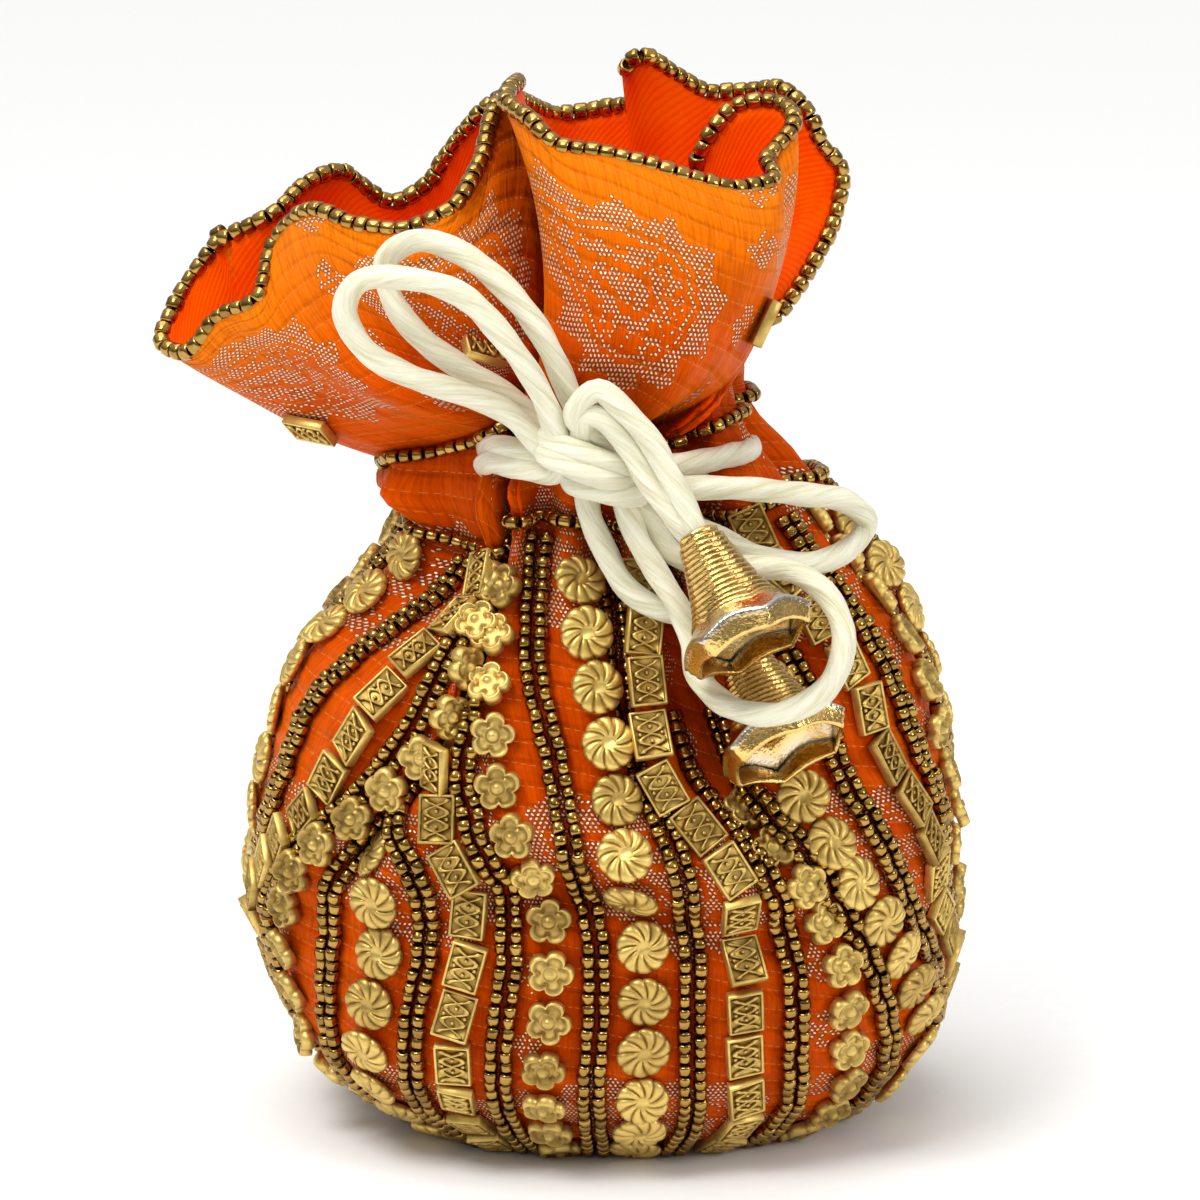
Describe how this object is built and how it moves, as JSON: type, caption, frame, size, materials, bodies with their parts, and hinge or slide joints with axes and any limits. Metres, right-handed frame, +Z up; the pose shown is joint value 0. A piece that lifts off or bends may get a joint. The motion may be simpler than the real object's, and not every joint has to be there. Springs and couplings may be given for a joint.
{
  "type": "drawstring pouch",
  "caption": "Round-bodied drawstring pouch of quilted brocade with sewn bead strips, a gathered neck, a flared ruffle mouth and cords tied in a bow with bell caps.",
  "frame": {"origin": "middle of the flat base, on the surface the pouch stands on", "axes": "+Z up, -Y towards the bow at the front, +X to the right seen from the front"},
  "size_m": [0.1684, 0.1515, 0.2229],
  "materials": {
    "brocade": "quilted silk brocade, semi-matt",
    "satin": "satin, soft sheen",
    "base_card": "cloth-covered card, matt",
    "motif_beads": "antique matt gold plate",
    "seed_beads": "antique bronze-gold lustre",
    "satin_cord": "cream satin rattail",
    "bell_gold": "shiny gold plate, worn rims"
  },
  "bodies": {
    "root": {"base_disc": "base_card", "brocade_shell": "brocade", "satin_lining": "satin", "rim_bead_strand": "seed_beads", "lower_casing_bead_row": "seed_beads", "upper_casing_bead_row": "seed_beads", "flower_strip_1": "motif_beads", "flower_strip_2": "motif_beads", "flower_strip_3": "motif_beads", "flower_strip_4": "motif_beads", "flower_strip_5": "motif_beads", "flower_strip_6": "motif_beads", "flower_strip_7": "motif_beads", "swirl_strip_1": "motif_beads", "swirl_strip_2": "motif_beads", "swirl_strip_3": "motif_beads", "swirl_strip_4": "motif_beads", "swirl_strip_5": "motif_beads", "swirl_strip_6": "motif_beads", "swirl_strip_7": "motif_beads", "tile_strip_1": "motif_beads", "tile_strip_2": "motif_beads", "tile_strip_3": "motif_beads", "tile_strip_4": "motif_beads", "tile_strip_5": "motif_beads", "tile_strip_6": "motif_beads", "tile_strip_7": "motif_beads", "seed_rows_01": "seed_beads", "seed_rows_02": "seed_beads", "seed_rows_03": "seed_beads", "seed_rows_04": "seed_beads", "seed_rows_05": "seed_beads", "seed_rows_06": "seed_beads", "seed_rows_07": "seed_beads", "seed_rows_08": "seed_beads", "seed_rows_09": "seed_beads", "seed_rows_10": "seed_beads", "seed_rows_11": "seed_beads", "seed_rows_12": "seed_beads", "seed_rows_13": "seed_beads", "seed_rows_14": "seed_beads", "seed_rows_15": "seed_beads", "seed_rows_16": "seed_beads", "seed_rows_17": "seed_beads", "seed_rows_18": "seed_beads", "seed_rows_19": "seed_beads", "seed_rows_20": "seed_beads", "seed_rows_21": "seed_beads", "collar_tile_left_lobe": "motif_beads", "collar_tile_front_valley": "motif_beads", "collar_tile_right_edge": "motif_beads", "left_cord": "satin_cord", "right_cord": "satin_cord", "bell_cap_front": "bell_gold", "bell_cap_rear": "bell_gold"}
  },
  "joints": []
}
